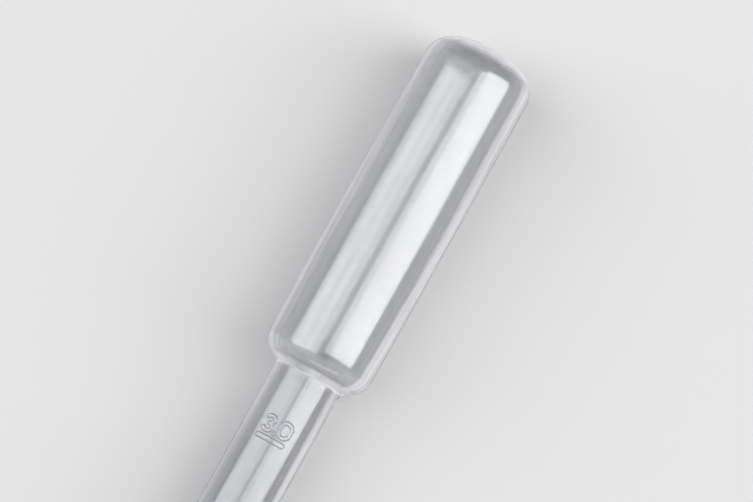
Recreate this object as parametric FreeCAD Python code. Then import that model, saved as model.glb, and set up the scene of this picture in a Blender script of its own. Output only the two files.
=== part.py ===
"""A plastic dropper pipette: bulb, graduated stem and drawn tip, blow-moulded as one hollow piece.

It is modelled along X, with the mouth of its tip at the origin and the bulb's closed end, the crown, at
the far end. A station is a distance from the mouth, and all sizes are in millimetres. The finished
piece is then laid down as it rests on a table, on the bulb's shoulder and the lower end of the stem,
with its raised scale on top and its two mould seams at the sides.
"""
import FreeCAD, Part
import math
import os

Vec = FreeCAD.Vector

# Bulb: it swells a little between its ends, and its closed end is a shallow dome.
BULB_DIAMETER = 12.84
BULB_LENGTH = 42.3
BULB_END_DRAWDOWN = 0.09      # how much smaller the radius is at each end than half way along
CROWN_RADIUS = 13.0
CROWN_CORNER = 3.4
SHOULDER_CORNER = 2.5
SHOULDER_LEAN = 31.0          # degrees that the shoulder's cone leans away from a square step
BULB_WALL = 0.45

# Stem: the straight tube that carries the scale.
STEM_DIAMETER = 7.9
STEM_LENGTH = 77.7
STEM_WALL = 0.4
NECK_FILLET = 0.3             # outside, where the stem meets the shoulder
FILLET_SHARE = 0.95           # the most of the room on the shoulder's slope that its rounding takes

# Tip: a short cone, a long slow taper, then a straight spout cut off square.
CONE_LENGTH = 7.0
TAPER_LENGTH = 18.0
TAPER_DIAMETER = 4.2          # where the cone ends and the taper starts
SPOUT_LENGTH = 10.0
SPOUT_DIAMETER = 3.0
BORE_DIAMETER = 1.8
CONE_BLEND = 7.0              # radius of the bends at both ends of the cone
SPOUT_BLEND = 40.0            # radius of the bend where the taper runs into the spout

# Mould seams: a fine ridge along each side, and a web of flash in the corner under one shoulder.
SEAM_HEIGHT = 0.07
SEAM_WIDTH = 0.22
WEB_THICKNESS = 0.3
WEB_HOLLOW = 2.0              # radius of the web's hollow edge
ROOT = 0.15                   # how deep the seams, the web and the scale are rooted in the wall

# Scale: a line for every step of volume, with its figure above it, as high as the stem has room.
SCALE_STEP = 500.0            # cubic millimetres, which is half a millilitre
FIGURE_HEIGHT = 1.77          # between the middles of the strokes at the foot and the head
SYMBOL_PITCH = 0.98           # between the middles of neighbouring symbols, the point among them
FIGURE_LIFT = 0.75            # from the line up to the foot of the figure
SCALE_HEAD_ROOM = 1.0         # from the top of the last figure to the neck
STROKE = 0.4
LINE_WIDTH = 0.55
WHOLE_LINE = 3.0
HALF_LINE = 2.0
SCALE_ASIDE = 0.3             # how far to the reader's left of the very top the scale's middle lies
RAISED = 0.15                 # how far the scale stands out of the stem

# Rest: the soft bulb lies on a small flat spot on its shoulder, and this is how its lean is found.
FLAT_DEPTH = 0.12             # how much of the round the flat spot takes away
SAMPLES = 400                 # points taken along each stretch of the outline
STEEPEST_REST = 20.0          # degrees
REST_TOLERANCE = 1e-6         # degrees

MILLILITRE = 1000.0

neck_station = SPOUT_LENGTH + TAPER_LENGTH + CONE_LENGTH + STEM_LENGTH
crown_station = neck_station + BULB_LENGTH
stem_start = neck_station - STEM_LENGTH
lean = math.radians(SHOULDER_LEAN)
up_slope = Vec(math.sin(lean), math.cos(lean), 0)
off_slope = Vec(-math.cos(lean), math.sin(lean), 0)


def crossing(curve_a, curve_b, rough):
    """Where two curves of the outline cross, nearest to a rough place."""
    places = [Vec(p.X, p.Y, 0) for p in curve_a.intersectCC(curve_b)]
    return min(places, key=lambda place: place.distanceToPoint(rough))


def circle(centre, radius):
    """A whole circle in the plane of the outline."""
    return Part.Circle(centre, Vec(0, 0, 1), radius)


def beyond(centre, place, distance):
    """The point at a distance from a centre, on the line from it through a place."""
    return centre + (place - centre).normalize() * distance


def arc_about(centre, start, end):
    """The shorter arc about a centre from one point to another."""
    middle = beyond(centre, (start + end) * 0.5, start.distanceToPoint(centre))
    return Part.Arc(start, middle, end).toShape()


def bent_line(places, radii):
    """Straight stretches through the places, with the corners between them rounded to their radii."""
    edges = []
    reached = places[0]
    for before, place, after, radius in zip(places, places[1:], places[2:], radii):
        back = (before - place).normalize()
        ahead = (after - place).normalize()
        half_angle = back.getAngle(ahead) / 2
        reach = radius / math.tan(half_angle)
        centre = beyond(place, place + back + ahead, radius / math.sin(half_angle))
        edges.append(Part.makeLine(reached, place + back * reach))
        reached = place + ahead * reach
        edges.append(arc_about(centre, place + back * reach, reached))
    return edges + [Part.makeLine(reached, places[-1])]


def slope_line(inset):
    """The line of the shoulder's slope, moved into the bulb by an inset."""
    foot = Vec(neck_station, STEM_DIAMETER / 2, 0) - off_slope * inset
    return Part.Line(foot, foot + up_slope)


def shoulder_radius():
    """The rounding of the shoulder, no more than its slope has room for above the neck's own fillet."""
    turn = math.tan((math.pi / 2 - lean) / 2)
    slope_length = (BULB_DIAMETER / 2 - BULB_END_DRAWDOWN - STEM_DIAMETER / 2) / math.cos(lean)
    room = slope_length / turn - NECK_FILLET - STEM_WALL
    return min(SHOULDER_CORNER, FILLET_SHARE * room)


def outline(bulb_inset, stem_inset, spout_radius, taper_radius):
    """Half of the lengthwise section of a skin, from the mouth to the crown, with Y as the radius.

    The skin lies inside the outer surface by the two insets: zero gives the outer surface, and the
    walls give the inner one. Both skins turn each of the bulb's corners about the same centre.
    """
    stem_radius = STEM_DIAMETER / 2 - stem_inset
    neck_rough = Vec(neck_station, stem_radius, 0)
    neck = crossing(Part.Line(Vec(0, stem_radius, 0), neck_rough), slope_line(bulb_inset), neck_rough)

    half_length = BULB_LENGTH / 2
    swell_radius = (half_length**2 + BULB_END_DRAWDOWN**2) / (2 * BULB_END_DRAWDOWN)
    side_centre = Vec(neck_station + half_length, BULB_DIAMETER / 2 - swell_radius, 0)
    dome_centre = Vec(crown_station - CROWN_RADIUS, 0, 0)
    shoulder_corner = shoulder_radius()
    shoulder_centre = crossing(
        slope_line(shoulder_corner), circle(side_centre, swell_radius - shoulder_corner), neck_rough
    )
    crown_centre = crossing(
        circle(dome_centre, CROWN_RADIUS - CROWN_CORNER),
        circle(side_centre, swell_radius - CROWN_CORNER),
        Vec(crown_station, BULB_DIAMETER / 2, 0),
    )
    slope_end = shoulder_centre + off_slope * (shoulder_corner - bulb_inset)
    side_start = beyond(side_centre, shoulder_centre, swell_radius - bulb_inset)
    side_end = beyond(side_centre, crown_centre, swell_radius - bulb_inset)
    dome_start = beyond(dome_centre, crown_centre, CROWN_RADIUS - bulb_inset)
    crown = Vec(crown_station - bulb_inset, 0, 0)

    places = (
        Vec(0, spout_radius, 0),
        Vec(SPOUT_LENGTH, spout_radius, 0),
        Vec(SPOUT_LENGTH + TAPER_LENGTH, taper_radius, 0),
        Vec(stem_start, stem_radius, 0),
        neck,
        slope_end,
    )
    return bent_line(places, (SPOUT_BLEND, CONE_BLEND, CONE_BLEND, NECK_FILLET + stem_inset)) + [
        arc_about(shoulder_centre, slope_end, side_start),
        arc_about(side_centre, side_start, side_end),
        arc_about(crown_centre, side_end, dome_start),
        arc_about(dome_centre, dome_start, crown),
    ]


def face_to_axis(stretches):
    """The flat area between an outline and the axis."""
    mouth_radius = stretches[0].BoundBox.YMax
    crown_x = stretches[-1].BoundBox.XMax
    closing = [
        Part.makeLine(Vec(0, 0, 0), Vec(0, mouth_radius, 0)),
        Part.makeLine(Vec(crown_x, 0, 0), Vec(0, 0, 0)),
    ]
    return Part.Face(Part.Wire(Part.__sortEdges__(stretches + closing)))


def turned(stretches):
    """The solid of revolution under an outline."""
    return face_to_axis(stretches).revolve(Vec(0, 0, 0), Vec(1, 0, 0), 360)


def upright(face, thickness):
    """A plate made from a face in the mould's parting plane, half of it on each side of that plane."""
    plate = face.copy()
    plate.translate(Vec(0, 0, -thickness / 2))
    return plate.extrude(Vec(0, 0, thickness))


def seams(outer_skin):
    """The fine ridge that the mould leaves along both sides and over the crown."""
    crest = outline(
        -SEAM_HEIGHT, -SEAM_HEIGHT, SPOUT_DIAMETER / 2 + SEAM_HEIGHT, TAPER_DIAMETER / 2 + SEAM_HEIGHT
    )
    side = upright(face_to_axis(crest), SEAM_WIDTH).cut(outer_skin)
    return [side, side.mirror(Vec(0, 0, 0), Vec(0, 1, 0))]


def web():
    """The thin web of flash that fills the corner under one shoulder, with a hollow edge."""
    reach = WEB_HOLLOW * math.tan((math.pi / 2 - lean) / 2)
    neck = Vec(neck_station, STEM_DIAMETER / 2, 0)
    on_stem = neck - Vec(reach, 0, 0)
    on_slope = neck + up_slope * reach
    edge = arc_about(on_stem + Vec(0, WEB_HOLLOW, 0), on_stem, on_slope)
    slope_root = on_slope - off_slope * ROOT
    neck_root = neck + Vec(ROOT, -ROOT, 0)
    stem_root = on_stem - Vec(0, ROOT, 0)
    rooted = Part.makePolygon([on_slope, slope_root, neck_root, stem_root, on_stem])
    face = Part.Face(Part.Wire([edge] + rooted.Edges))
    return upright(face, WEB_THICKNESS).mirror(Vec(0, 0, 0), Vec(0, 1, 0))


def bar(start, end, width):
    """A straight stroke with round ends."""
    half = width / 2
    along = (end - start).normalize() * half
    across = Vec(-along.y, along.x, 0)
    return Part.Face(Part.Wire([
        Part.makeLine(start + across, end + across),
        Part.Arc(end + across, end + along, end - across).toShape(),
        Part.makeLine(end - across, start - across),
        Part.Arc(start - across, start - along, start + across).toShape(),
    ]))


def bow(centre, radius, first, last, width):
    """A stroke along an arc, anticlockwise from one direction in degrees to another, with round ends."""
    half = width / 2

    def at(distance, degrees):
        angle = math.radians(degrees)
        return centre + Vec(math.cos(angle), math.sin(angle), 0) * distance

    def edge(distance):
        return Part.Arc(at(distance, first), at(distance, (first + last) / 2), at(distance, last)).toShape()

    def round_end(degrees, ahead):
        angle = math.radians(degrees)
        tip = at(radius, degrees) + Vec(-math.sin(angle), math.cos(angle), 0) * ahead
        return Part.Arc(at(radius + half, degrees), tip, at(radius - half, degrees)).toShape()

    sides = [edge(radius + half), round_end(last, half), edge(radius - half), round_end(first, -half)]
    return Part.Face(Part.Wire(Part.__sortEdges__(sides)))


def strokes(symbol):
    """The strokes of a figure or of the point, with the middle of its foot at the origin and Y up."""
    def line(*places):
        ends = [Vec(x, y, 0) * FIGURE_HEIGHT for x, y in places]
        return [bar(start, end, STROKE) for start, end in zip(ends, ends[1:])]

    def arc(x, y, radius, first, last):
        return [bow(Vec(x, y, 0) * FIGURE_HEIGHT, radius * FIGURE_HEIGHT, first, last, STROKE)]

    def ring(y, radius):
        return arc(0, y, radius, 0, 180) + arc(0, y, radius, 180, 360)

    if symbol == ".":
        return line((0, 0), (0, 0.03))
    if symbol == "0":
        sides = line((-0.36, 0.64), (-0.36, 0.36)) + line((0.36, 0.36), (0.36, 0.64))
        return sides + arc(0, 0.64, 0.36, 0, 180) + arc(0, 0.36, 0.36, 180, 360)
    if symbol == "1":
        return line((-0.2, 0.8), (0.05, 1), (0.05, 0))
    if symbol == "2":
        return arc(0, 0.7, 0.3, -30, 165) + line((0.26, 0.55), (-0.3, 0), (0.32, 0))
    if symbol == "3":
        return arc(0, 0.755, 0.245, -90, 150) + arc(0, 0.255, 0.255, -150, 90)
    if symbol == "4":
        return line((0.15, 0), (0.15, 1), (-0.32, 0.3), (0.34, 0.3))
    if symbol == "5":
        return line((0.26, 1), (-0.2, 1), (-0.22, 0.51)) + arc(-0.02, 0.3, 0.3, -150, 132)
    if symbol == "6":
        return ring(0.29, 0.29) + line((-0.27, 0.4), (0.12, 1))
    if symbol == "7":
        return line((-0.3, 1), (0.3, 1), (-0.08, 0))
    if symbol == "8":
        return ring(0.76, 0.24) + ring(0.26, 0.26)
    return ring(0.71, 0.29) + line((0.27, 0.6), (-0.12, 0))


def graduation(volume):
    """The flat strokes of one line of the scale and of its figure, with the line through the origin."""
    line_length = HALF_LINE if volume % MILLILITRE else WHOLE_LINE
    line_end = Vec(line_length / 2, 0, 0)
    faces = [bar(line_end * -1, line_end, LINE_WIDTH)]
    figure = f"{volume / MILLILITRE:.1f}"
    first = -SYMBOL_PITCH * (len(figure) - 1) / 2
    for place, symbol in enumerate(figure):
        for face in strokes(symbol):
            face.translate(Vec(first + place * SYMBOL_PITCH, FIGURE_LIFT, 0))
            faces.append(face)
    return faces


def scale_stations(hollow):
    """The volume and station of each line: where the liquid stands when the pipette is filled so far."""
    radius = STEM_DIAMETER / 2
    tip_room = Part.makeBox(stem_start, 2 * radius, 2 * radius, Vec(0, -radius, -radius))
    tip_volume = hollow.common(tip_room).Volume
    bore_area = math.pi * (radius - STEM_WALL) ** 2
    top_station = neck_station - SCALE_HEAD_ROOM - FIGURE_LIFT - FIGURE_HEIGHT
    top_volume = tip_volume + (top_station - stem_start) * bore_area
    volumes = [SCALE_STEP * (line + 1) for line in range(int(top_volume // SCALE_STEP))]
    return [(v, stem_start + (v - tip_volume) / bore_area) for v in volumes if v > tip_volume]


def scale(hollow):
    """The raised lines and figures, upright when the bulb is up, on the top of the stem."""
    radius = STEM_DIAMETER / 2
    origin = Vec(0, 0, 0)
    along = Vec(1, 0, 0)
    crest = Part.makeCylinder(radius + RAISED, neck_station, origin, along)
    band = crest.cut(Part.makeCylinder(radius - ROOT, neck_station, origin, along))
    raised = []
    for volume, station in scale_stations(hollow):
        for face in graduation(volume):
            face.rotate(origin, Vec(0, 0, 1), -90)
            face.translate(Vec(station, SCALE_ASIDE, 0))
            raised.append(face.extrude(Vec(0, 0, STEM_DIAMETER)).common(band))
    return raised


def low_points(outer_outline):
    """Points along the underside, with the distance from the axis as Y and the bulb's flat spot let in."""
    points = [p for edge in outer_outline for p in edge.discretize(SAMPLES)]
    return [p - Vec(0, FLAT_DEPTH if p.x > neck_station else 0, 0) for p in points]


def axis_height(points, degrees, station):
    """How high the axis stands over the table at a station when the piece leans by some degrees."""
    angle = math.radians(degrees)
    return max(p.y * math.cos(angle) - (p.x - station) * math.sin(angle) for p in points)


def rest_tilt(points, balance_station):
    """Degrees that the bulb's end rises by when the piece lies with its centre of mass lowest."""
    least, most = -STEEPEST_REST, STEEPEST_REST
    while most - least > REST_TOLERANCE:
        third = (most - least) / 3
        low_side = axis_height(points, least + third, balance_station)
        high_side = axis_height(points, most - third, balance_station)
        if low_side < high_side:
            most -= third
        else:
            least += third
    return (least + most) / 2


def flattened(skin, tilt, mouth_height, wall):
    """A skin without the part of its bulb that lies lower than the height of a wall over the table."""
    reach = BULB_DIAMETER
    low_corner = Vec(neck_station, -reach / 2, wall - mouth_height - reach)
    below = Part.makeBox(BULB_LENGTH, reach, reach, low_corner)
    below.rotate(Vec(0, 0, 0), Vec(0, 1, 0), tilt)
    return skin.cut(below)


def laid_down(piece, tilt):
    """The piece leaning as it rests on the table, centred over the origin, and where its mouth then is."""
    piece.rotate(Vec(0, 0, 0), Vec(0, 1, 0), -tilt)
    bounds = piece.optimalBoundingBox(False)
    mouth = Vec(-bounds.Center.x, -bounds.Center.y, -bounds.ZMin)
    piece.translate(mouth)
    return piece, mouth


def build():
    """Make the pipette, lay it down and write it out."""
    outer_outline = outline(0, 0, SPOUT_DIAMETER / 2, TAPER_DIAMETER / 2)
    spout_wall = (SPOUT_DIAMETER - BORE_DIAMETER) / 2
    inner_outline = outline(BULB_WALL, STEM_WALL, BORE_DIAMETER / 2, TAPER_DIAMETER / 2 - spout_wall)
    outer = turned(outer_outline)
    hollow = turned(inner_outline)
    root = turned(outline(
        ROOT, ROOT, SPOUT_DIAMETER / 2 - ROOT, TAPER_DIAMETER / 2 - ROOT
    ))
    (tube,) = outer.cut(hollow).Solids
    points = low_points(outer_outline)
    tilt = rest_tilt(points, tube.CenterOfMass.x)
    mouth_height = axis_height(points, tilt, 0)
    body = flattened(outer, tilt, mouth_height, 0).cut(flattened(hollow, tilt, mouth_height, BULB_WALL))
    (moulding,) = body.multiFuse(seams(root) + [web()] + scale(hollow)).removeSplitter().Solids
    pipette, mouth = laid_down(moulding, tilt)
    os.makedirs("parts", exist_ok=True)
    pipette.exportStep("parts/pipette.step")
    bounds = pipette.optimalBoundingBox(False)
    print(f"length {crown_station:.2f}, tilt {tilt:.4f} degrees, mouth {mouth}, valid {pipette.isValid()}")
    print(f"volume {pipette.Volume:.1f}, hollow {hollow.Volume:.0f}, faces {len(pipette.Faces)}")
    print(f"bounds {bounds}, centre of mass {pipette.CenterOfMass}")
    print("scale", [(volume, round(station, 2)) for volume, station in scale_stations(hollow)])


build()
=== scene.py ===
"""Looks of a one-piece plastic dropper pipette, lying on a pale floor.

The pipette is drawn as one closed skin: down the outside from the bulb's crown, round the mouth and
back up the inside. Sizes are in millimetres. A station is a distance along the pipette's own axis from
the mouth, and an angle around that axis is zero at the top, where the scale stands.
"""
import logging
from collections.abc import Callable, Iterator, Sequence
from dataclasses import dataclass
from enum import Enum
from math import acos, atan2, ceil, cos, inf, pi, radians, sin, sqrt, tan

import bpy
import numpy as np
from mathutils import Matrix, Vector
from numpy.linalg import norm


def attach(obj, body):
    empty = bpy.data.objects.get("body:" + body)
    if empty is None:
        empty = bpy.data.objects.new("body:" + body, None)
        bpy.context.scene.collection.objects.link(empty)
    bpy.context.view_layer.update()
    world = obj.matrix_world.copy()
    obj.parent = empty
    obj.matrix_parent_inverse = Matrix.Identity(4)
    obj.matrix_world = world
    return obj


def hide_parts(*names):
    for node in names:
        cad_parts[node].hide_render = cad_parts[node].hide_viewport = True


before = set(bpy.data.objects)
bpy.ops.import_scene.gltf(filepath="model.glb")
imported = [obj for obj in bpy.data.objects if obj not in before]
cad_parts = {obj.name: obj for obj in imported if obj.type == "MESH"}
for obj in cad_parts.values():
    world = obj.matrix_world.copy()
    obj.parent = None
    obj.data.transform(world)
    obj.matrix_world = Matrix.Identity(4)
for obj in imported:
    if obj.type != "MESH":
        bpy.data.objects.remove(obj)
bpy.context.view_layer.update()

log = logging.getLogger("pipette")

MM = 0.001
NODE = "pipette"
BODY = "root"
SLOT = "milky_plastic"
TINY = 1e-6

Array = np.ndarray
Pair = tuple[float, float]
Triple = tuple[float, float, float]
Colour = tuple[float, float, float, float]
Values = dict[str | int, object]


# ---- plane geometry


def point(station: float, radius: float) -> Array:
    """A point of the lengthwise section."""
    return np.array((station, radius), float)


def unit(vector: Array) -> Array:
    """The vector at a length of one."""
    return vector / norm(vector)


def leaning(angle: float) -> tuple[Triple, Triple]:
    """The ways along and up of what leans at an angle."""
    return (cos(angle), 0.0, sin(angle)), (-sin(angle), 0.0, cos(angle))


def beyond(centre: Array, place: Array, distance: float) -> Array:
    """The point at a distance from a centre, towards a place."""
    return centre + unit(place - centre) * distance


def circles_meet(first: Array, first_radius: float, second: Array, second_radius: float) -> Array:
    """Find where two circles cross.

    Args:
        first: Centre of the first circle.
        first_radius: Its radius.
        second: Centre of the second circle.
        second_radius: Its radius.

    Returns:
        The crossing nearer to the crown.
    """
    apart = second - first
    distance = norm(apart)
    along = (distance**2 + first_radius**2 - second_radius**2) / (2 * distance)
    foot = first + unit(apart) * along
    across = np.array((-apart[1], apart[0])) / distance * sqrt(first_radius**2 - along**2)
    return max(foot + across, foot - across, key=lambda place: place[0])


def line_meets_circle(foot: Array, way: Array, centre: Array, radius: float) -> Array:
    """Find where a line first crosses a circle, beyond the line's foot.

    Args:
        foot: A point on the line.
        way: The line's direction, of length one.
        centre: Centre of the circle.
        radius: Its radius.

    Returns:
        The crossing nearest to the foot.
    """
    middle = (centre - foot) @ way
    miss = foot + way * middle - centre
    half = sqrt(radius**2 - miss @ miss)
    return min((foot + way * (middle + s * half) for s in (-1, 1)), key=lambda p: norm(p - foot))


def ease(value: Array, low: float, high: float) -> Array:
    """Zero below low, one above high and a smooth rise between; it falls where low is above high."""
    share = np.clip((value - low) / (high - low), 0.0, 1.0)
    return share * share * (3.0 - 2.0 * share)


def put(name: str, data: bpy.types.ID) -> bpy.types.Object:
    """Put a new object in the scene.

    Args:
        name: Its name.
        data: Its mesh, lamp or camera.

    Returns:
        The object.
    """
    made = bpy.data.objects.new(name, data)
    bpy.context.scene.collection.objects.link(made)
    return made


@dataclass(frozen=True)
class Run:
    """A straight or round run of the section."""

    start: Array
    end: Array
    centre: Array | None = None

    def bend(self) -> float:
        """The run's radius of curvature, or infinity if it is straight."""
        return inf if self.centre is None else norm(self.start - self.centre)

    def points(self, spacing: float) -> Array:
        """Take points along the run.

        Args:
            spacing: The most that two points may lie apart.

        Returns:
            The points in order, without the run's end.
        """
        if self.centre is None:
            count = max(2, ceil(norm(self.end - self.start) / spacing))
            share = np.arange(count)[:, None] / count
            return self.start + (self.end - self.start) * share
        first = atan2(*(self.start - self.centre)[::-1])
        turn = atan2(*(self.end - self.centre)[::-1]) - first
        turn = (turn + pi) % (2 * pi) - pi
        count = max(2, ceil(abs(turn) * self.bend() / spacing))
        angles = first + turn * np.arange(count) / count
        return self.centre + self.bend() * np.column_stack((np.cos(angles), np.sin(angles)))


def rounded(places: Sequence[Array], radii: Sequence[float]) -> Iterator[Run]:
    """Join places by straight runs with rounded corners.

    Args:
        places: The ends and corners, in order.
        radii: The rounding of each corner.

    Yields:
        The runs, in order.
    """
    reached = places[0]
    for before, place, after, radius in zip(places, places[1:], places[2:], radii):
        back, ahead = unit(before - place), unit(after - place)
        half_angle = acos(back @ ahead) / 2
        reach = radius / tan(half_angle)
        centre = beyond(place, place + back + ahead, radius / sin(half_angle))
        yield Run(reached, place + back * reach)
        reached = place + ahead * reach
        yield Run(place + back * reach, reached, centre)
    yield Run(reached, places[-1])


# ---- sizes


@dataclass(frozen=True)
class BulbSizes:
    """The squeeze bulb: a little swollen half way along, with a shallow domed end."""

    diameter: float = 12.84
    length: float = 42.3
    end_drawdown: float = 0.09
    crown_radius: float = 13.0
    crown_corner: float = 3.4
    shoulder_corner: float = 2.5
    shoulder_lean: float = radians(31.0)
    wall: float = 0.45


@dataclass(frozen=True)
class StemSizes:
    """The straight stem that carries the scale."""

    diameter: float = 7.9
    length: float = 77.7
    wall: float = 0.4
    neck_fillet: float = 0.3


@dataclass(frozen=True)
class TipSizes:
    """The cone, the drawn taper and the spout."""

    cone_length: float = 7.0
    taper_length: float = 18.0
    taper_diameter: float = 4.2
    spout_length: float = 10.0
    spout_diameter: float = 3.0
    bore_diameter: float = 1.8
    cone_blend: float = 7.0
    spout_blend: float = 40.0
    outer_edge: float = 0.1
    inner_edge: float = 0.07


@dataclass(frozen=True)
class SeamSizes:
    """The mould's parting line along both sides, and the web of flash under one shoulder."""

    height: float = 0.07
    trimmed_height: float = 0.03
    half_width: float = 0.06
    foot_half_width: float = 0.13
    proud_above: float = 147.7
    proud_below: float = 115.7
    fade: float = 0.35
    crown_fade: Pair = (0.3, 1.2)
    web_half_width: float = 0.13
    web_foot_half_width: float = 0.18
    web_hollow: float = 2.0
    columns: tuple[float, ...] = (-0.32, -0.19, -0.13, -0.065, 0.0, 0.065, 0.13, 0.19, 0.32)


@dataclass(frozen=True)
class ScaleSizes:
    """The raised scale: a line and a figure for every half millilitre."""

    first_station: float = 41.16
    step_volume: float = 500.0
    lines: int = 6
    figure_height: float = 1.77
    symbol_pitch: float = 0.98
    figure_lift: float = 0.75
    core_half_width: float = 0.14
    foot_half_width: float = 0.26
    line_spread: float = 0.075
    whole_line: float = 3.0
    half_line: float = 2.0
    aside: float = 0.3
    raised: float = 0.145
    below: float = 0.4
    above: float = 2.85


@dataclass(frozen=True)
class FlowMark:
    """A small mark on the outside, drawn out along the pipette, and hollow if its height is negative."""

    start: float
    end: float
    across: float
    half_width: float
    height: float
    level_share: float = 0.6

    def at(self, station: Array, across: Array) -> Array:
        """Work out the mark's height.

        Args:
            station: The station of each point.
            across: How far it lies to the reader's right.

        Returns:
            The height at each point.
        """
        middle, half = (self.start + self.end) / 2, (self.end - self.start) / 2
        along = ease(np.abs(station - middle), half, half * self.level_share)
        return self.height * along * ease(np.abs(across - self.across), self.half_width, 0.0)


@dataclass(frozen=True)
class RestSizes:
    """How the pipette lies: its lean, and where the middle of its mouth then is."""

    lean: float = radians(1.6402)
    mouth: Triple = (-77.4833, 0.0, 2.9234)


@dataclass(frozen=True)
class GridSizes:
    """How close together the skin's points lie."""

    drawing: float = 0.02
    bulb_row: float = 0.6
    stem_row: float = 1.2
    tip_row: float = 0.9
    inner_share: float = 1.35
    turn_per_row: float = radians(6.5)
    mark_row: float = 0.078
    top_mark_row: float = 0.05
    row_growth: float = 0.35
    mark_half_width: float = 2.2
    mark_columns: int = 70
    side_columns: int = 7
    low_columns: int = 12
    widest_seam: float = radians(24.0)
    top_reach: float = radians(60.0)


# ---- the raised figures


@dataclass(frozen=True)
class Figures:
    """The middles of the figures' strokes, in shares of the height, from the middle of the foot."""

    height: float
    arc_parts: int = 14

    def line(self, *places: Pair) -> list[Array]:
        """Straight strokes through the places, each as a start and an end."""
        ends = [np.array(place) * self.height for place in places]
        return [np.array(pair) for pair in zip(ends, ends[1:])]

    def arc(self, x: float, y: float, radius: float, first: float, last: float) -> list[Array]:
        """Short strokes along an arc round (x, y), from one direction in degrees to another."""
        angles = np.radians(np.linspace(first, last, self.arc_parts + 1))
        return self.line(*zip(x + radius * np.cos(angles), y + radius * np.sin(angles)))

    def strokes(self, symbol: str) -> list[Array]:
        """Draw one figure or the point.

        Args:
            symbol: What to draw.

        Returns:
            Its strokes.
        """
        line, arc = self.line, self.arc
        if symbol == ".":
            return line((0, 0), (0, 0.03))
        if symbol == "0":
            sides = line((-0.36, 0.64), (-0.36, 0.36)) + line((0.36, 0.36), (0.36, 0.64))
            return sides + arc(0, 0.64, 0.36, 0, 180) + arc(0, 0.36, 0.36, 180, 360)
        if symbol == "1":
            return line((-0.2, 0.8), (0.05, 1), (0.05, 0))
        if symbol == "2":
            return arc(0, 0.7, 0.3, -30, 165) + line((0.26, 0.55), (-0.3, 0), (0.32, 0))
        if symbol == "3":
            return arc(0, 0.755, 0.245, -90, 150) + arc(0, 0.255, 0.255, -150, 90)
        return line((0.26, 1), (-0.2, 1), (-0.22, 0.51)) + arc(-0.02, 0.3, 0.3, -150, 132)


@dataclass(frozen=True)
class Scale:
    """The lines and figures on top of the stem."""

    sizes: ScaleSizes = ScaleSizes()
    bore: float = StemSizes.diameter - 2 * StemSizes.wall

    def stations(self) -> list[float]:
        """Where each line lies."""
        pitch = self.sizes.step_volume / (pi * self.bore**2 / 4)
        return [self.sizes.first_station + pitch * line for line in range(self.sizes.lines)]

    def marks(self) -> Iterator[tuple[float, Array]]:
        """Draw every line with its figure.

        Yields:
            The line's station, and the strokes across and up from its middle.
        """
        sizes, figures = self.sizes, Figures(self.sizes.figure_height)
        for number, station in enumerate(self.stations(), 1):
            half = (sizes.half_line if number % 2 else sizes.whole_line) / 2
            spread = sizes.line_spread
            found = [np.array(((-half, up), (half, up))) for up in (-spread, spread)]
            for place, symbol in enumerate(f"{number / 2:.1f}", -1):
                shift = np.array((place * sizes.symbol_pitch, sizes.figure_lift))
                found += [stroke + shift for stroke in figures.strokes(symbol)]
            yield station, np.array(found) - np.array((sizes.aside, 0.0))

    @staticmethod
    def distance(places: Array, strokes: Array) -> Array:
        """Measure how far places lie from the nearest stroke.

        Args:
            places: Places, across and up.
            strokes: Strokes, as pairs of ends.

        Returns:
            The distance of each place.
        """
        start, way = strokes[:, 0], strokes[:, 1] - strokes[:, 0]
        apart = places[:, None, :] - start
        share = np.clip((apart * way).sum(2) / (way * way).sum(1), 0.0, 1.0)
        return norm(apart - share[..., None] * way, axis=2).min(1)

    def height(self, station: Array, across: Array) -> Array:
        """Work out how far the scale stands out of the stem.

        Args:
            station: The station of each point.
            across: How far it lies to the reader's right.

        Returns:
            The height at each point.
        """
        sizes = self.sizes
        raised = np.zeros(station.shape)
        for line_station, strokes in self.marks():
            up = station - line_station
            near = (up > -sizes.below) & (up < sizes.above) & np.isfinite(across)
            away = self.distance(np.column_stack((across[near], up[near])), strokes)
            raised[near] = sizes.raised * ease(away, sizes.foot_half_width, sizes.core_half_width)
        return raised


# ---- the skin


@dataclass(frozen=True)
class Ripples:
    """A set of slow ripples along the axis and around it, drawn at random from a fixed seed."""

    seed: int
    count: int
    lengths: Pair
    turns: int
    height: float
    least_share: float = 0.4

    def at(self, station: Array, angle: Array) -> Array:
        """Draw the ripples and add them up.

        Args:
            station: The station of each point.
            angle: Its angle around the axis.

        Returns:
            Their height at each point.
        """
        chance = np.random.default_rng(self.seed)
        total = np.zeros(station.shape)
        for _ in range(self.count):
            length = chance.uniform(*self.lengths)
            turns = chance.integers(-self.turns, self.turns + 1)
            phase = chance.uniform(0, 2 * pi)
            height = self.height * chance.uniform(self.least_share, 1)
            total += height * np.cos(2 * pi * station / length + turns * angle + phase)
        return total


@dataclass(frozen=True)
class Unevenness:
    """The ripples of both walls, which die away round the crown's middle and towards the mouth."""

    inner: tuple[Ripples, ...] = (
        Ripples(11, 9, (9.0, 40.0), 3, 0.016),
        Ripples(13, 8, (60.0, 200.0), 12, 0.005),
    )
    outer: tuple[Ripples, ...] = (Ripples(12, 9, (12.0, 50.0), 3, 0.0035),)
    crown_calm: Pair = (0.2, 2.2)
    tip_calm: Pair = (4.0, 40.0)

    def lift(self, station: Array, radius: Array, angle: Array, outer: Array) -> Array:
        """Work out how far the ripples lift the skin.

        Args:
            station: The station of each point.
            radius: Its distance from the axis.
            angle: Its angle around the axis.
            outer: Whether it is outside.

        Returns:
            The lift at each point.
        """
        inside, outside = (sum(one.at(station, angle) for one in wall) for wall in (self.inner, self.outer))
        calm = ease(radius, *self.crown_calm) * ease(station, *self.tip_calm)
        return np.where(outer, outside, inside) * calm


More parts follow.
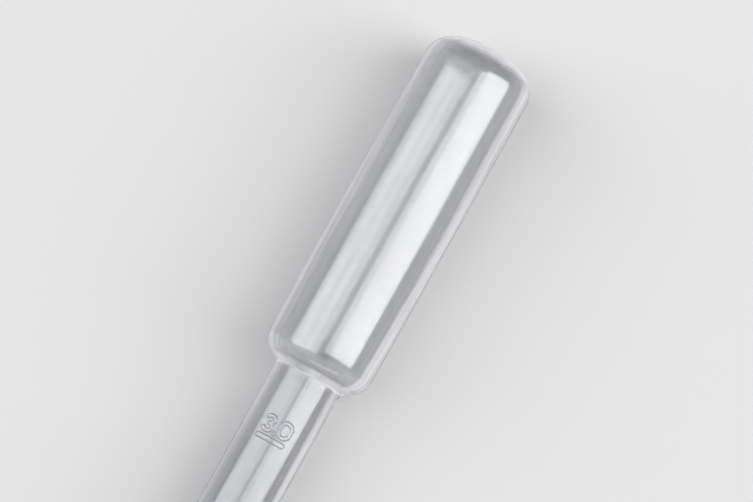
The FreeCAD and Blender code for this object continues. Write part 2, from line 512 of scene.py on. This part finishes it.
@dataclass
class Rows:
    """The section's points, down the outside and up the inside."""

    place: Array
    along: Array
    outward: Array
    outer: Array


@dataclass
class Pipette:
    """The whole blown piece: bulb, neck, stem and tip, outside and inside."""

    bulb: BulbSizes = BulbSizes()
    stem: StemSizes = StemSizes()
    tip: TipSizes = TipSizes()
    seam: SeamSizes = SeamSizes()
    scale: Scale = Scale()
    rest: RestSizes = RestSizes()
    grid: GridSizes = GridSizes()
    unevenness: Unevenness = Unevenness()
    marks: tuple[FlowMark, ...] = (
        FlowMark(149.9, 158.1, -2.2, 3.0, -0.1),
        FlowMark(147.2, 150.1, -0.6, 0.16, 0.03),
        FlowMark(114.2, 115.8, 2.5, 0.16, 0.04),
        FlowMark(100.7, 101.2, -1.7, 0.2, 0.03),
    )

    def __post_init__(self) -> None:
        """Work out the stations that the sizes give."""
        self.stem_start = self.tip.spout_length + self.tip.taper_length + self.tip.cone_length
        self.neck_station = self.stem_start + self.stem.length
        self.crown_station = self.neck_station + self.bulb.length
        lean = self.bulb.shoulder_lean
        self.up_slope = point(sin(lean), cos(lean))
        self.off_slope = point(-cos(lean), sin(lean))

    # the section

    def bulb_runs(self, inset: float) -> list[Run]:
        """Draw the bulb's section from the crown to the shoulder's slope.

        Args:
            inset: How deep the skin lies in the wall.

        Returns:
            The runs.
        """
        bulb = self.bulb
        half = bulb.length / 2
        swell = (half**2 + bulb.end_drawdown**2) / (2 * bulb.end_drawdown)
        side = point(self.neck_station + half, bulb.diameter / 2 - swell)
        dome = point(self.crown_station - bulb.crown_radius, 0.0)
        foot = point(self.neck_station, self.stem.diameter / 2) - self.off_slope * bulb.shoulder_corner
        shoulder = line_meets_circle(foot, self.up_slope, side, swell - bulb.shoulder_corner)
        crown = circles_meet(dome, bulb.crown_radius - bulb.crown_corner, side, swell - bulb.crown_corner)
        ends = (
            point(self.crown_station - inset, 0.0),
            beyond(dome, crown, bulb.crown_radius - inset),
            beyond(side, crown, swell - inset),
            beyond(side, shoulder, swell - inset),
            shoulder + self.off_slope * (bulb.shoulder_corner - inset),
        )
        return [Run(*parts) for parts in zip(ends, ends[1:], (dome, crown, side, shoulder))]

    def neck(self, bulb_inset: float, stem_inset: float) -> Array:
        """Find where the stem's wall meets the shoulder's slope.

        Args:
            bulb_inset: How deep the skin lies in the bulb's wall.
            stem_inset: How deep it lies in the stem's.

        Returns:
            The meeting point.
        """
        foot = point(self.neck_station, self.stem.diameter / 2) - self.off_slope * bulb_inset
        radius = self.stem.diameter / 2 - stem_inset
        return foot + self.up_slope * (radius - foot[1]) / self.up_slope[1]

    def skin_runs(self) -> list[Run]:
        """Draw the whole section.

        Returns:
            The runs down the outside and up the inside.
        """
        tip, stem, bulb = self.tip, self.stem, self.bulb
        spout_wall = (tip.spout_diameter - tip.bore_diameter) / 2
        taper_end = tip.spout_length + tip.taper_length
        outer_bulb, inner_bulb = self.bulb_runs(0.0), self.bulb_runs(bulb.wall)
        places = (
            outer_bulb[-1].end,
            self.neck(0.0, 0.0),
            point(self.stem_start, stem.diameter / 2),
            point(taper_end, tip.taper_diameter / 2),
            point(tip.spout_length, tip.spout_diameter / 2),
            point(0.0, tip.spout_diameter / 2),
            point(0.0, tip.bore_diameter / 2),
            point(tip.spout_length, tip.bore_diameter / 2),
            point(taper_end, tip.taper_diameter / 2 - spout_wall),
            point(self.stem_start, stem.diameter / 2 - stem.wall),
            self.neck(bulb.wall, stem.wall),
            inner_bulb[-1].end,
        )
        blends = (tip.cone_blend, tip.cone_blend, tip.spout_blend)
        outer_radii = (stem.neck_fillet, *blends, tip.outer_edge)
        inner_radii = (tip.inner_edge, *reversed(blends), stem.neck_fillet + stem.wall)
        back_up = [Run(run.end, run.start, run.centre) for run in reversed(inner_bulb)]
        return [*outer_bulb, *rounded(places, outer_radii + inner_radii), *back_up]

    def spacing(self, station: Array, bend: Array, outer: Array) -> Array:
        """Choose how far apart the rows lie.

        Args:
            station: The station of each drawn point.
            bend: The section's radius there.
            outer: Whether it is outside.

        Returns:
            The spacing at each point.
        """
        grid = self.grid
        plain = np.where(station > self.neck_station, grid.bulb_row, grid.stem_row)
        plain = np.where(station < self.stem_start, grid.tip_row, plain)
        plain = np.where(outer, plain, plain * grid.inner_share)
        chosen = np.minimum(plain, grid.turn_per_row * bend)
        stations = self.scale.stations()
        for line_station in stations:
            up = station - line_station
            near = outer & (up > -self.scale.sizes.below) & (up < self.scale.sizes.above)
            row = grid.top_mark_row if line_station == stations[-1] else grid.mark_row
            chosen = np.where(near, np.minimum(chosen, row), chosen)
        return chosen

    def rows(self) -> Rows:
        """Take points of the section, close together where the shape needs them.

        Returns:
            The rows.
        """
        drawn, bends = [], []
        for run in self.skin_runs():
            points = run.points(self.grid.drawing)
            drawn.append(points)
            bends.append(np.full(len(points), run.bend()))
        drawn.append(point(self.crown_station - self.bulb.wall, 0.0)[None])
        bends.append(bends[-1][-1:])
        places, bend = np.concatenate(drawn), np.concatenate(bends)
        along = np.insert(np.cumsum(norm(np.diff(places, axis=0), axis=1)), 0, 0.0)
        mouth = places[:, 0].argmin()
        outer = np.arange(len(places)) < mouth
        step = self.spacing(places[:, 0], bend, outer)
        for sign in (1, -1):
            ramp = sign * self.grid.row_growth * along[::sign]
            step[::sign] = np.minimum.accumulate(step[::sign] - ramp) + ramp
        count = np.insert(np.cumsum(np.diff(along) * 2 / (step[1:] + step[:-1])), 0, 0.0)
        total = ceil(count[-1])
        taken = np.interp(np.arange(total + 1) * count[-1] / total, count, along)
        place, tangent = (
            np.column_stack([np.interp(taken, along, part) for part in curve.T])
            for curve in (places, np.gradient(places, along, axis=0))
        )
        tangent /= norm(tangent, axis=1)[:, None]
        outward = np.column_stack((tangent[:, 1], -tangent[:, 0]))
        return Rows(place, taken, outward, taken < along[mouth])

    # around the axis

    def angles(self, radius: Array) -> Array:
        """Lay out the columns around each row.

        Args:
            radius: The radius of each row.

        Returns:
            Each row's angles, rising from the lowest point round to it again.
        """
        grid, seam = self.grid, self.seam
        across = np.linspace(-grid.mark_half_width, grid.mark_half_width, grid.mark_columns + 1)
        top = np.arcsin(across / (self.stem.diameter / 2))
        widest = seam.columns[-1]
        reach = np.minimum(widest / np.maximum(radius, TINY), grid.widest_seam)[:, None]
        quarter = pi / 2
        by_seam = quarter + reach * np.array(seam.columns) / widest
        share = np.arange(1, grid.side_columns) / grid.side_columns
        side = top[-1] + (quarter - reach - top[-1]) * share
        share = np.arange(1, grid.low_columns + 1) / grid.low_columns
        low = quarter + reach + (quarter - reach) * share
        half = np.concatenate((side, by_seam, low), axis=1)
        middle = np.broadcast_to(top, (len(radius), len(top)))
        return np.concatenate((-half[:, -2::-1], middle, half), axis=1)

    def seam_height(self, station: Array, radius: Array, side: float) -> Array:
        """Work out how far the seam stands out on one side.

        Args:
            station: The station of each point.
            radius: Its distance from the axis.
            side: 1 left of the scale, where the seam is trimmed in part, and -1 right of it.

        Returns:
            The height at each point.
        """
        seam = self.seam
        above = ease(station, seam.proud_above - seam.fade, seam.proud_above)
        below = ease(station, seam.proud_below + seam.fade, seam.proud_below)
        proud = np.maximum(above, below) if side > 0 else 1.0
        height = seam.trimmed_height + (seam.height - seam.trimmed_height) * proud
        return height * ease(radius, *seam.crown_fade)

    def web_places(self, rows: Rows) -> tuple[Array, Array]:
        """Find the web's hollow edge under the shoulder.

        Args:
            rows: The section's rows.

        Returns:
            Which rows the web covers, and its edge there.
        """
        hollow = self.seam.web_hollow
        reach = hollow * tan((pi / 2 - self.bulb.shoulder_lean) / 2)
        neck = point(self.neck_station, self.stem.diameter / 2)
        on_stem, on_slope = neck - point(reach, 0.0), neck + self.up_slope * reach
        centre = on_stem + point(0.0, hollow)
        covered = rows.outer & (norm(rows.place - neck, axis=1) < reach)
        along = rows.along[covered]
        share = (along - along[0]) / (along[-1] - along[0])
        first = atan2(*(on_slope - centre)[::-1])
        turn = atan2(*(on_stem - centre)[::-1]) - first
        angle = first + turn * share
        edge = rows.place.copy()
        edge[covered] = centre + hollow * np.column_stack((np.cos(angle), np.sin(angle)))
        return covered, edge

    def surface(self) -> tuple[Array, Array, Rows]:
        """Work out every point of the skin, in the row frame.

        Returns:
            The points by row and column, their angles, and the rows.
        """
        rows = self.rows()
        station, radius = rows.place[:, :1], rows.place[:, 1:]
        angle = self.angles(rows.place[:, 1])
        outer = rows.outer[:, None]
        station, radius, outer = (np.broadcast_to(x, angle.shape) for x in (station, radius, outer))
        lift = self.unevenness.lift(station, radius, angle, outer)
        for side in (1.0, -1.0):
            aside = radius * np.abs(angle - side * pi / 2)
            ridge = ease(aside, self.seam.foot_half_width, self.seam.half_width)
            lift += outer * ridge * self.seam_height(station, radius, side)
        on_top = outer & (np.abs(angle) < self.grid.top_reach)
        across = np.where(on_top, -radius * np.sin(angle), np.nan)
        on_stem = (station > self.stem_start) & (station < self.neck_station)
        lift += self.scale.height(station, np.where(on_stem, across, np.nan))
        lift += np.nan_to_num(sum(mark.at(station, across) for mark in self.marks))
        along, off = station + lift * rows.outward[:, :1], radius + lift * rows.outward[:, 1:]
        covered, edge = self.web_places(rows)
        aside = radius * np.abs(angle + pi / 2)
        share = ease(aside, self.seam.web_foot_half_width, self.seam.web_half_width) * covered[:, None]
        along += (edge[:, :1] - along) * share
        off += (edge[:, 1:] - off) * share
        return self.lay_down(along, off, angle, outer), angle, rows

    def lay_down(self, along: Array, off: Array, angle: Array, outer: Array) -> Array:
        """Place the skin as it lies on the floor, on its flat spot.

        Args:
            along: Each point's station.
            off: Its distance from the axis.
            angle: Its angle around the axis.
            outer: Whether it is outside.

        Returns:
            The points in the row frame.
        """
        cosine, sine = cos(self.rest.lean), sin(self.rest.lean)
        mouth_x, mouth_y, mouth_z = self.rest.mouth
        up = off * np.cos(angle)
        x = mouth_x + along * cosine - up * sine
        y = mouth_y + off * np.sin(angle)
        z = mouth_z + along * sine + up * cosine
        in_bulb = along > self.neck_station
        z = np.where(outer, np.maximum(z, 0.0), np.where(in_bulb, np.maximum(z, self.bulb.wall), z))
        return np.stack((x, y, z), axis=-1)

    # the mesh

    @staticmethod
    def slope(points: Array, at: Array) -> Array:
        """Work out how points change from row to row, by uneven central differences.

        Args:
            points: The points, with one row more at each end.
            at: What the rows are spaced by, at each point.

        Returns:
            The change per unit.
        """
        back, ahead = (at[1:-1] - at[:-2])[..., None], (at[2:] - at[1:-1])[..., None]
        rise = points[2:] * back**2 - points[:-2] * ahead**2 + points[1:-1] * (ahead**2 - back**2)
        return rise / (back * ahead * (back + ahead))

    def normals(self, points: Array, angle: Array, rows: Rows) -> Array:
        """Work out which way the skin faces.

        Args:
            points: The skin's points by row and column.
            angle: Their angles around the axis.
            rows: The section's rows.

        Returns:
            The direction at each point of the rings between the two crowns.
        """
        along = self.slope(points, np.broadcast_to(rows.along[:, None], angle.shape))
        ring, turn = points[1:-1].swapaxes(0, 1), angle[1:-1].swapaxes(0, 1)
        full = 2 * pi
        ring = np.concatenate((ring[-1:], ring, ring[:1]))
        turn = np.concatenate((turn[-1:] - full, turn, turn[:1] + full))
        around = self.slope(ring, turn).swapaxes(0, 1)
        found = np.cross(around, along)
        return found / norm(found, axis=-1)[..., None]

    def build(self, name: str) -> bpy.types.Object:
        """Make the pipette's mesh.

        Args:
            name: The piece's name.

        Returns:
            The object, linked to the scene.
        """
        points, angle, rows = self.surface()
        rings, columns = points.shape[0] - 2, points.shape[1]
        normal = self.normals(points, angle, rows)
        axis = np.array(leaning(self.rest.lean)[0])
        crowns = points[[0, -1]].mean(axis=1)
        vertices = np.concatenate((points[1:-1].reshape(-1, 3), crowns)) * MM
        normals = np.concatenate((normal.reshape(-1, 3), axis[None], -axis[None]))
        index = np.arange(rings * columns).reshape(rings, columns)
        ahead = np.roll(index, -1, axis=1)
        quads = np.stack((index[:-1], ahead[:-1], ahead[1:], index[1:]), axis=-1).reshape(-1, 4)
        first, last = (zip(index[row].tolist(), ahead[row].tolist()) for row in (0, -1))
        faces = [(rings * columns, b, a) for a, b in first] + quads.tolist()
        faces += [(a, b, rings * columns + 1) for a, b in last]
        mesh = bpy.data.meshes.new(name)
        mesh.from_pydata(vertices.tolist(), [], faces)
        mesh.polygons.foreach_set("use_smooth", [True] * len(mesh.polygons))
        mesh.validate()
        mesh.normals_split_custom_set_from_vertices(normals.tolist())
        mesh.update()
        log.info("%s: %d rings of %d points, %d faces", name, rings, columns, len(mesh.polygons))
        return put(name, mesh)

    def dress(self, piece: bpy.types.Object) -> None:
        """Give the piece its material and body, and hide the model's node.

        Args:
            piece: The pipette's object.
        """
        piece.data.materials.append(MilkyPolythene(self.rest).make())
        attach(piece, BODY)
        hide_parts(NODE)
        log.info("%s: dressed as %s", piece.name, SLOT)


# ---- shader writing


class Ray(Enum):
    """Kinds of ray that a material can tell apart."""

    CAMERA = "Is Camera Ray"
    GLOSSY = "Is Glossy Ray"
    THROUGH = "Is Transmission Ray"
    SHADOW = "Is Shadow Ray"


def operator(operation: str, swapped: bool = False) -> Callable[["Socket", "Socket | float"], "Socket"]:
    """Make an operator for sockets.

    Args:
        operation: The Math node's operation.
        swapped: Whether the socket comes second in it.

    Returns:
        The operator, which adds the node and gives its output.
    """

    def method(self: "Socket", other: "Socket | float") -> "Socket":
        """The result of the operation."""
        values = (other, self) if swapped else (self, other)
        return self.shop.add("Math", dict(enumerate(values)), {"operation": operation})

    return method


@dataclass(frozen=True)
class Socket:
    """An output of a node, written like a number: sums, products and powers add Math nodes."""

    shop: "Shop"
    socket: bpy.types.NodeSocket

    __add__ = __radd__ = operator("ADD")
    __sub__ = operator("SUBTRACT")
    __rsub__ = operator("SUBTRACT", True)
    __mul__ = __rmul__ = operator("MULTIPLY")
    __truediv__ = operator("DIVIDE")
    __pow__ = operator("POWER")

    def ramp(self, low: float, high: float, start: float = 0.0, end: float = 1.0) -> "Socket":
        """The value's smooth way from low to high, as a smooth way from start to end."""
        values = {"Value": self, "From Min": low, "From Max": high, "To Min": start, "To Max": end}
        return self.shop.add("MapRange", values, {"interpolation_type": "SMOOTHSTEP"})


class Shop:
    """Adds nodes to one tree."""

    def __init__(self, owner: bpy.types.Material | bpy.types.World) -> None:
        """Start on an emptied tree.

        Args:
            owner: What the tree belongs to.
        """
        owner.use_nodes = True
        self.tree = owner.node_tree
        self.tree.nodes.clear()

    def add(
        self, kind: str, inputs: Values, settings: Values | None = None, output: str | int = 0
    ) -> Socket:
        """Add a node.

        Args:
            kind: The node's type, less ShaderNode.
            inputs: Values or links for its sockets, by name or number.
            settings: Its settings, which are set first.
            output: The output that is wanted.

        Returns:
            The output, wrapped.
        """
        made = self.tree.nodes.new("ShaderNode" + kind)
        for key, value in (settings or {}).items():
            setattr(made, key, value)
        for key, value in inputs.items():
            if isinstance(value, Socket):
                self.tree.links.new(value.socket, made.inputs[key])
            else:
                made.inputs[key].default_value = value
        return Socket(self, made.outputs[output])

    def close(self, kind: str, surface: Socket) -> None:
        """Add the tree's output node, Material or World, and feed it."""
        made = self.tree.nodes.new("ShaderNodeOutput" + kind)
        self.tree.links.new(surface.socket, made.inputs["Surface"])

    def blend(self, share: Socket, below: object, above: object) -> Socket:
        """Lay one colour over another by a share."""
        # sockets 6 and 7 take colours, and output 2 gives one
        return self.add("Mix", {0: share, 6: below, 7: above}, {"data_type": "RGBA"}, 2)

    def either(self, share: Socket, first: Socket, second: Socket) -> Socket:
        """Mix two shaders by a share."""
        return self.add("MixShader", {0: share, 1: first, 2: second})

    def ray(self, kind: Ray) -> Socket:
        """One for rays of a kind, and zero for others."""
        return self.add("LightPath", {}, output=kind.value)

    def place(self, stretch: Triple) -> Socket:
        """The place on the piece, in metres, multiplied along each axis."""
        here = self.add("TexCoord", {}, output="Object")
        return self.add("VectorMath", {0: here, 1: stretch}, {"operation": "MULTIPLY"})

    def noise(self, stretch: Triple, detail: float = 2.0) -> Socket:
        """Soft noise whose scale along each axis is the stretch, in patches to the metre."""
        return self.add("TexNoise", {"Vector": self.place(stretch), "Scale": 1.0, "Detail": detail})


# ---- finishes


@dataclass(frozen=True)
class PaintedLightBand:
    """A milkier band of the wall that paints light on it: where it starts and is full, where it fades and
    ends, and its milk.
    """

    start: float
    full: float
    fade: float
    end: float
    milk: float

    def at(self, place: Socket) -> Socket:
        """The band's milk at a place."""
        return place.ramp(self.start, self.full) * place.ramp(self.fade, self.end, 1.0, 0.0) * self.milk


@dataclass(frozen=True)
class MilkyPolythene:
    """Natural low-density polythene: milky, half see-through, with a soft satin gloss.

    Stations and radii are in millimetres. A turn is the sine of the angle from the top, to the right.
    """

    rest: RestSizes
    name: str = "milky_polythene"
    # the clear shell, deeper where it turns from the eye, and darker on the stem as painted shade
    clear: Colour = (0.845, 0.852, 0.875, 1.0)
    deep: Colour = (0.455, 0.465, 0.50, 1.0)
    turned: Pair = (0.1, 0.45)
    transmission: float = 0.96
    index: float = 1.51
    rough: Pair = (0.11, 0.20)
    rough_range: Pair = (0.35, 0.65)
    neck: float = 112.7
    stem_fade: float = 1.0
    stem_painted_shade: float = 0.25
    # its gloss
    coat_least: float = 0.8
    coat_range: Pair = (0.38, 0.60)
    coat_rough: float = 0.15
    coat_index: float = 1.62
    stem_dull: float = 0.25
    # the milk in the wall, and milkier bands down the sides and round the neck, shoulder and crown that are
    # painted light
    milk: Colour = (0.80, 0.805, 0.825, 1.0)
    pale_milk: Colour = (0.90, 0.905, 0.92, 1.0)
    milk_least: float = 0.07
    milk_edge: float = 0.75
    edge_power: float = 2.8
    # painted light: a lighter band down the left side
    left_painted_light: float = 0.1
    left_light_turn: Pair = (-0.60, -0.84)
    # painted light: a light band down the right side
    right_painted_light_band: PaintedLightBand = PaintedLightBand(0.80, 0.87, 0.95, 0.985, 0.45)
    # where the painted light down the sides ends, before the crown
    side_light_end: Pair = (151.5, 153.5)
    # painted highlight: a ring round the neck, stronger on the right
    neck_highlight_ring: PaintedLightBand = PaintedLightBand(112.4, 112.8, 113.1, 113.6, 0.95)
    neck_highlight_turn: Pair = (-0.3, 0.2)
    neck_highlight_left: float = 0.5
    # painted light: a lighter ring round the shoulder
    shoulder_light_ring: PaintedLightBand = PaintedLightBand(113.2, 113.8, 114.6, 115.4, 0.16)
    # painted light: a lighter ring round the crown's corner, faded out towards its middle by crown_radius
    crown_light_ring: PaintedLightBand = PaintedLightBand(152.8, 154.0, 156.0, 157.0, 0.55)
    crown_radius: Pair = (1.2, 4.6)
    # its grains
    cloud_stretch: Triple = (60.0, 130.0, 130.0)
    cloud_detail: float = 3.0
    drawn_stretch: Triple = (45.0, 1300.0, 1300.0)
    peel_stretch: Triple = (420.0, 620.0, 620.0)
    grain_stretch: Triple = (1500.0, 1500.0, 1500.0)
    wander_stretch: Triple = (45.0, 30.0, 30.0)
    wander: float = 0.16
    noise_range: Pair = (0.3, 0.7)
    cloud_sway: float = 0.2
    drawn_sway: float = 0.07
    drawn_in_peel: float = 0.1
    drawn_in_rough: float = 0.25
    drawn_in_coat: float = 0.15
    peel_strength: float = 0.25
    peel_depth: float = 0.00005
    # its shadow
    shade: Colour = (0.40, 0.405, 0.42, 1.0)

    def make(self) -> bpy.types.Material:
        """Make the material.

        Returns:
            The material.
        """
        made = bpy.data.materials.new(self.name)
        shop = Shop(made)
        cloud = shop.noise(self.cloud_stretch, self.cloud_detail)
        drawn = shop.noise(self.drawn_stretch)
        grain = shop.noise(self.grain_stretch)
        share = self.drawn_in_peel
        height = drawn * share + shop.noise(self.peel_stretch) * (1 - share)
        bump = {"Strength": self.peel_strength, "Distance": self.peel_depth, "Height": height}
        bump = shop.add("Bump", bump)
        edge = shop.add("LayerWeight", {}, output="Facing")
        on_stem = self.along(shop).ramp(self.neck - self.stem_fade, self.neck, 1.0, 0.0)
        share = self.drawn_in_rough
        matt = (cloud * (1 - share) + drawn * share).ramp(*self.rough_range, *self.rough)
        share = self.drawn_in_coat
        gloss = (grain * (1 - share) + drawn * share).ramp(*self.coat_range, self.coat_least, 1.0)
        # deeper tint where the wall turns from the eye, and painted shade on the stem
        depth = edge.ramp(*self.turned) + on_stem * self.stem_painted_shade
        both = {"Roughness": matt, "Normal": bump, "IOR": self.index}
        shell = both | {
            "Base Color": shop.blend(depth, self.clear, self.deep),
            "Transmission Weight": self.transmission,
            "Coat Weight": gloss - on_stem * self.stem_dull,
            "Coat Roughness": self.coat_rough,
            "Coat IOR": self.coat_index,
        }
        body = both | {"Base Color": shop.blend(drawn.ramp(*self.noise_range), self.milk, self.pale_milk)}
        shell, body = (shop.add("BsdfPrincipled", inputs) for inputs in (shell, body))
        plastic = shop.either(self.milk_and_painted_light(shop, cloud, drawn, edge), shell, body)
        through = shop.add("BsdfTransparent", {"Color": self.shade})
        mixed = shop.either(shop.ray(Ray.SHADOW), plastic, through)
        shop.close("Material", mixed)
        return made

    def measure(self, shop: Shop, way: Triple) -> Socket:
        """Measure how far a point of the wall lies from the mouth's middle, one way.

        Args:
            shop: The material's shop.
            way: The direction, of length one.

        Returns:
            The distance in millimetres.
        """
        here = shop.add("TexCoord", {}, output="Object")
        mouth = tuple(size * MM for size in self.rest.mouth)
        here = shop.add("VectorMath", {0: here, 1: mouth}, {"operation": "SUBTRACT"})
        way = tuple(part / MM for part in way)
        return shop.add("VectorMath", {0: here, 1: way}, {"operation": "DOT_PRODUCT"}, "Value")

    def along(self, shop: Shop) -> Socket:
        """The station of a point of the wall."""
        return self.measure(shop, leaning(self.rest.lean)[0])

    def milk_and_painted_light(self, shop: Shop, cloud: Socket, drawn: Socket, edge: Socket) -> Socket:
        """Work out how milky the wall is: more so at its edges, with painted light in milkier bands down
        the sides and round the neck, shoulder and crown.

        Args:
            shop: The material's shop.
            cloud: Broad soft noise.
            drawn: Noise drawn out along the pipette.
            edge: How far the wall is turned from the eye.

        Returns:
            The share of milk in the wall, with the painted light.
        """
        along = self.along(shop)
        up = self.measure(shop, leaning(self.rest.lean)[1])
        right = self.measure(shop, (0.0, -1.0, 0.0))
        radius = (up * up + right * right) ** 0.5
        turn = right / radius + (shop.noise(self.wander_stretch) - 0.5) * self.wander
        # painted light down the right and left sides, ending before the crown
        side_light_share = along.ramp(*self.side_light_end, 1.0, 0.0)
        sides = self.right_painted_light_band.at(turn) + turn.ramp(*self.left_light_turn) * self.left_painted_light
        milky = (edge**self.edge_power) * self.milk_edge + sides * side_light_share + self.milk_least
        for noise, sway in ((cloud, self.cloud_sway), (drawn, self.drawn_sway)):
            milky = milky * noise.ramp(*self.noise_range, 1 - sway, 1 + sway)
        # painted highlight round the neck, stronger on the right, and painted light round the shoulder and
        # the crown
        rings = self.neck_highlight_ring.at(along) * turn.ramp(*self.neck_highlight_turn, self.neck_highlight_left, 1.0)
        rings = rings + self.shoulder_light_ring.at(along)
        return milky + rings + self.crown_light_ring.at(along) * radius.ramp(*self.crown_radius)


@dataclass(frozen=True)
class PaleFloor:
    """A plain matt pale floor, which runs out into the pale distance."""

    name: str = "pale_floor"
    colour: Colour = (0.76, 0.76, 0.765, 1.0)
    rough: float = 0.9
    gloss: float = 0.2
    distance: Colour = (0.6, 0.603, 0.61, 1.0)
    fade: Pair = (0.35, 1.3)

    def make(self) -> bpy.types.Material:
        """Make the material.

        Returns:
            The material.
        """
        made = bpy.data.materials.new(self.name)
        shop = Shop(made)
        inputs = {"Base Color": self.colour, "Roughness": self.rough, "Specular IOR Level": self.gloss}
        near = shop.add("BsdfPrincipled", inputs)
        far = shop.add("Emission", {"Color": self.distance})
        here = shop.add("TexCoord", {}, output="Object")
        away = shop.add("VectorMath", {0: here}, {"operation": "LENGTH"}, "Value")
        seen = shop.ray(Ray.CAMERA) + shop.ray(Ray.GLOSSY) + shop.ray(Ray.THROUGH)
        mixed = shop.either(away.ramp(*self.fade) * seen, near, far)
        shop.close("Material", mixed)
        return made


@dataclass(frozen=True)
class PaleSky:
    """Soft pale surroundings: brighter at the horizon and straight up than between. Heights run to one."""

    name: str = "surroundings"
    colour: Colour = (0.97, 0.98, 1.0, 1.0)
    horizon: Pair = (0.07, 0.25)
    horizon_level: float = 0.6
    level: float = 0.2
    crown: Pair = (0.95, 1.0)
    crown_lift: float = 0.6

    def make(self) -> bpy.types.World:
        """Make the surroundings.

        Returns:
            The world.
        """
        world = bpy.data.worlds.new(self.name)
        shop = Shop(world)
        way = shop.add("TexCoord", {}, output="Generated")
        height = shop.add("SeparateXYZ", {0: way}, output="Z")
        level = height.ramp(*self.horizon, self.horizon_level, self.level)
        level = level + height.ramp(*self.crown, 0.0, self.crown_lift)
        glow = shop.add("Background", {"Color": self.colour, "Strength": level})
        shop.close("World", glow)
        return world


# ---- the studio


class Side(Enum):
    """The side of the pipette that a lamp hangs on, seen from above with the bulb up."""

    LEFT = (0.0, 1.0)
    RIGHT = (0.0, -1.0)
    TIP = (-1.0, 0.0)


@dataclass(frozen=True)
class SoftBox:
    """A long soft lamp on one side of the pipette, from one angle to another from straight up."""

    name: str
    side: Side
    inner: float
    outer: float
    start: float
    end: float
    glow: float
    distance: float = 1.2
    colour: Triple = (1.0, 0.995, 0.985)

    def build(self, centre: Vector) -> None:
        """Hang the lamp, square to its side.

        Args:
            centre: What it faces.
        """
        half = radians(self.outer - self.inner) / 2
        middle = radians(self.outer + self.inner) / 2
        data = bpy.data.lights.new(self.name, "AREA")
        data.shape = "RECTANGLE"
        data.size, data.size_y = self.end - self.start, 2 * self.distance * tan(half)
        data.energy = self.glow * pi * data.size * data.size_y
        data.color = self.colour
        aside_x, aside_y = self.side.value
        away = Vector((aside_x * sin(middle), aside_y * sin(middle), cos(middle)))
        along = Vector((abs(aside_y), abs(aside_x), 0.0))
        place = centre + away * self.distance + along * (self.start + self.end) / 2
        turn = Matrix((along, away.cross(along), away)).transposed().to_4x4()
        lamp = put(self.name, data)
        lamp.matrix_world = Matrix.Translation(place) @ turn
        lamp.visible_camera = False
        log.info("%s hung", self.name)


@dataclass(frozen=True)
class Viewpoint:
    """The camera, which looks down on the bulb, a little from the tip's side."""

    station: float = 133.6
    distance: float = 534.8
    roll: float = radians(29.274)
    tilt: float = radians(6.0)
    field_of_view: float = radians(9.0)
    sensor: float = 36.0
    width: int = 753
    height: int = 502
    column: float = 399.466
    line: float = 214.710
    clip: Pair = (0.01, 20.0)

    def build(self, rest: RestSizes) -> None:
        """Set the camera up.

        Args:
            rest: How the pipette lies.
        """
        axis = Vector(leaning(rest.lean)[0])
        along, up = map(Vector, leaning(rest.lean + self.tilt))
        aside = Vector((0.0, -1.0, 0.0))
        right = along * sin(self.roll) + aside * cos(self.roll)
        top = along * cos(self.roll) - aside * sin(self.roll)
        lens = self.sensor / 2 / tan(self.field_of_view / 2)
        per_mm = self.width * lens / self.sensor / self.distance
        shift_right = (self.column - self.width / 2) / per_mm
        shift_up = (self.height / 2 - self.line) / per_mm
        target = Vector(rest.mouth) + axis * self.station
        place = target - right * shift_right - top * shift_up + up * self.distance
        data = bpy.data.cameras.new("camera")
        data.lens, data.sensor_width = lens, self.sensor
        data.clip_start, data.clip_end = self.clip
        camera = put("camera", data)
        turn = Matrix((right, top, up)).transposed().to_4x4()
        camera.matrix_world = Matrix.Translation(place * MM) @ turn
        bpy.context.scene.camera = camera


@dataclass
class Studio:
    """The floor, the surroundings, the lamps and the camera."""

    floor: PaleFloor = PaleFloor()
    floor_half: float = 6.0
    sky: PaleSky = PaleSky()
    viewpoint: Viewpoint = Viewpoint()
    centre: Triple = (0.0, 0.0, 0.006)
    boxes: tuple[SoftBox, ...] = (
        SoftBox("soft_box_right", Side.RIGHT, 16.0, 71.0, 0.01, 0.75, 3.7),
        SoftBox("soft_box_right_inner", Side.RIGHT, 2.5, 16.0, 0.01, 0.45, 2.3),
        SoftBox("soft_box_left", Side.LEFT, 25.0, 73.0, -0.6, 0.33, 2.2),
        SoftBox("soft_box_left_inner", Side.LEFT, 9.5, 25.0, -0.6, 0.33, 1.65),
        SoftBox("soft_box_tip", Side.TIP, 68.0, 82.0, -1.0, 0.3, 1.3),
    )

    def lay_floor(self) -> None:
        """Lay the floor that the pipette lies on."""
        half = self.floor_half
        mesh = bpy.data.meshes.new("floor")
        corners = [(x * half, y * half, 0.0) for x, y in ((-1, -1), (1, -1), (1, 1), (-1, 1))]
        mesh.from_pydata(corners, [], [(0, 1, 2, 3)])
        mesh.materials.append(self.floor.make())
        put("floor", mesh)

    def build(self, rest: RestSizes) -> None:
        """Set it all up.

        Args:
            rest: How the pipette lies.
        """
        self.lay_floor()
        bpy.context.scene.world = self.sky.make()
        for box in self.boxes:
            box.build(Vector(self.centre))
        self.viewpoint.build(rest)
        bpy.context.scene.view_settings.view_transform = "Standard"
        log.info("studio ready")


def main() -> None:
    """Build the pipette and its studio."""
    logging.basicConfig(level=logging.INFO, format="%(name)s: %(message)s")
    pipette = Pipette()
    pipette.dress(pipette.build("pipette_moulding"))
    Studio().build(pipette.rest)
    log.info("sizes written")


if __name__ == "__main__":
    main()
